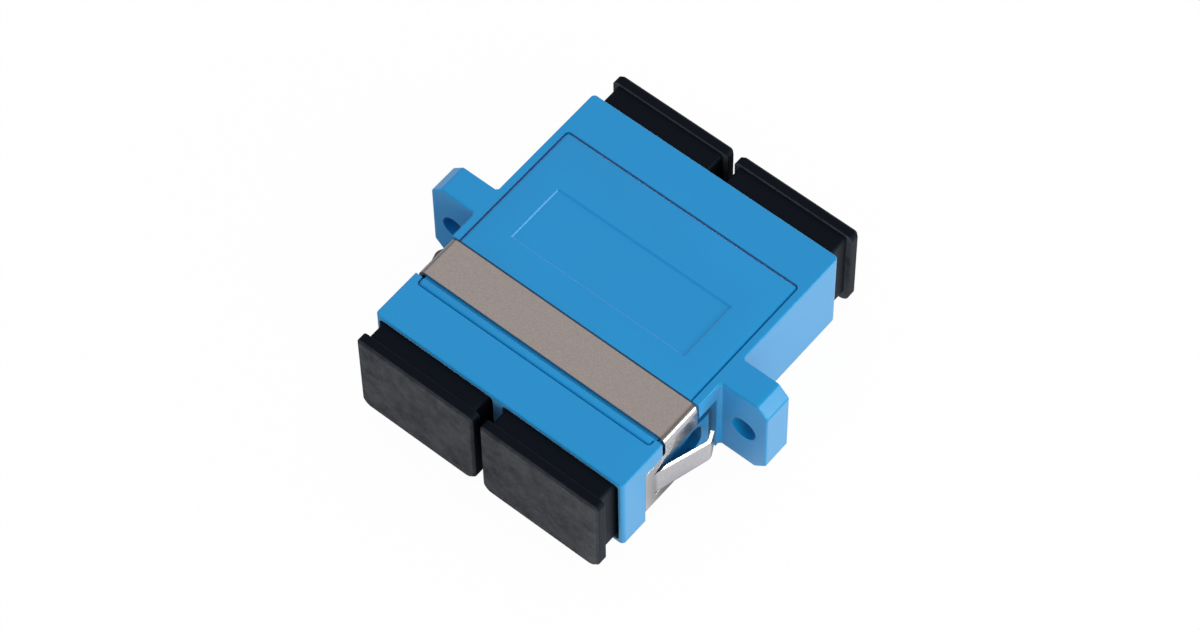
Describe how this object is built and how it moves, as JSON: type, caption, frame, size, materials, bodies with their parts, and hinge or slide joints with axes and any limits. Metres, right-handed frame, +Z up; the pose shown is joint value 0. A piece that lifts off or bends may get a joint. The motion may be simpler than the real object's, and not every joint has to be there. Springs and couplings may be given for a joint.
{
  "type": "fibre optic adapter",
  "caption": "Panel-mount fibre coupler block with side ears, a folded steel panel clip and pull-off dust caps over its square connector ports.",
  "frame": {"origin": "on the resting surface, under the middle of the block between its two panel ears, midway between both ends", "axes": "+X towards the right ear, +Y along the fibres to the rear ports (the clip's side is the front, -Y), +Z up out of the face with the cover plate"},
  "size_m": [0.0354, 0.0339, 0.01],
  "materials": {
    "blue_housing": "satin moulded blue thermoplastic",
    "blue_cover": "satin moulded blue thermoplastic",
    "spring_steel": "rolled stainless spring strip, satin with a fine grain",
    "sleeve_ceramic": "ground white zirconia ceramic",
    "hook_plastic": "satin moulded blue thermoplastic",
    "cap_rubbery": "matt black moulded polyethylene with a fine grain"
  },
  "bodies": {
    "adapter": {"housing": "blue_housing", "cover_plate": "blue_cover", "panel_clip": "spring_steel", "left_sleeve": "sleeve_ceramic", "front_left_hook": "hook_plastic", "rear_left_hook": "hook_plastic", "right_sleeve": "sleeve_ceramic", "front_right_hook": "hook_plastic", "rear_right_hook": "hook_plastic"},
    "front_left_dust_cap": {"front_left_cap": "cap_rubbery"},
    "front_right_dust_cap": {"front_right_cap": "cap_rubbery"},
    "rear_left_dust_cap": {"rear_left_cap": "cap_rubbery"},
    "rear_right_dust_cap": {"rear_right_cap": "cap_rubbery"}
  },
  "joints": [
    {"name": "front_left_pull", "type": "slide", "parent": "adapter", "child": "front_left_dust_cap", "axis": [0, -1, 0], "range_m": [0, 0.0135]},
    {"name": "front_right_pull", "type": "slide", "parent": "adapter", "child": "front_right_dust_cap", "axis": [0, -1, 0], "range_m": [0, 0.0135]},
    {"name": "rear_left_pull", "type": "slide", "parent": "adapter", "child": "rear_left_dust_cap", "axis": [0, 1, 0], "range_m": [0, 0.0135]},
    {"name": "rear_right_pull", "type": "slide", "parent": "adapter", "child": "rear_right_dust_cap", "axis": [0, 1, 0], "range_m": [0, 0.0135]}
  ]
}
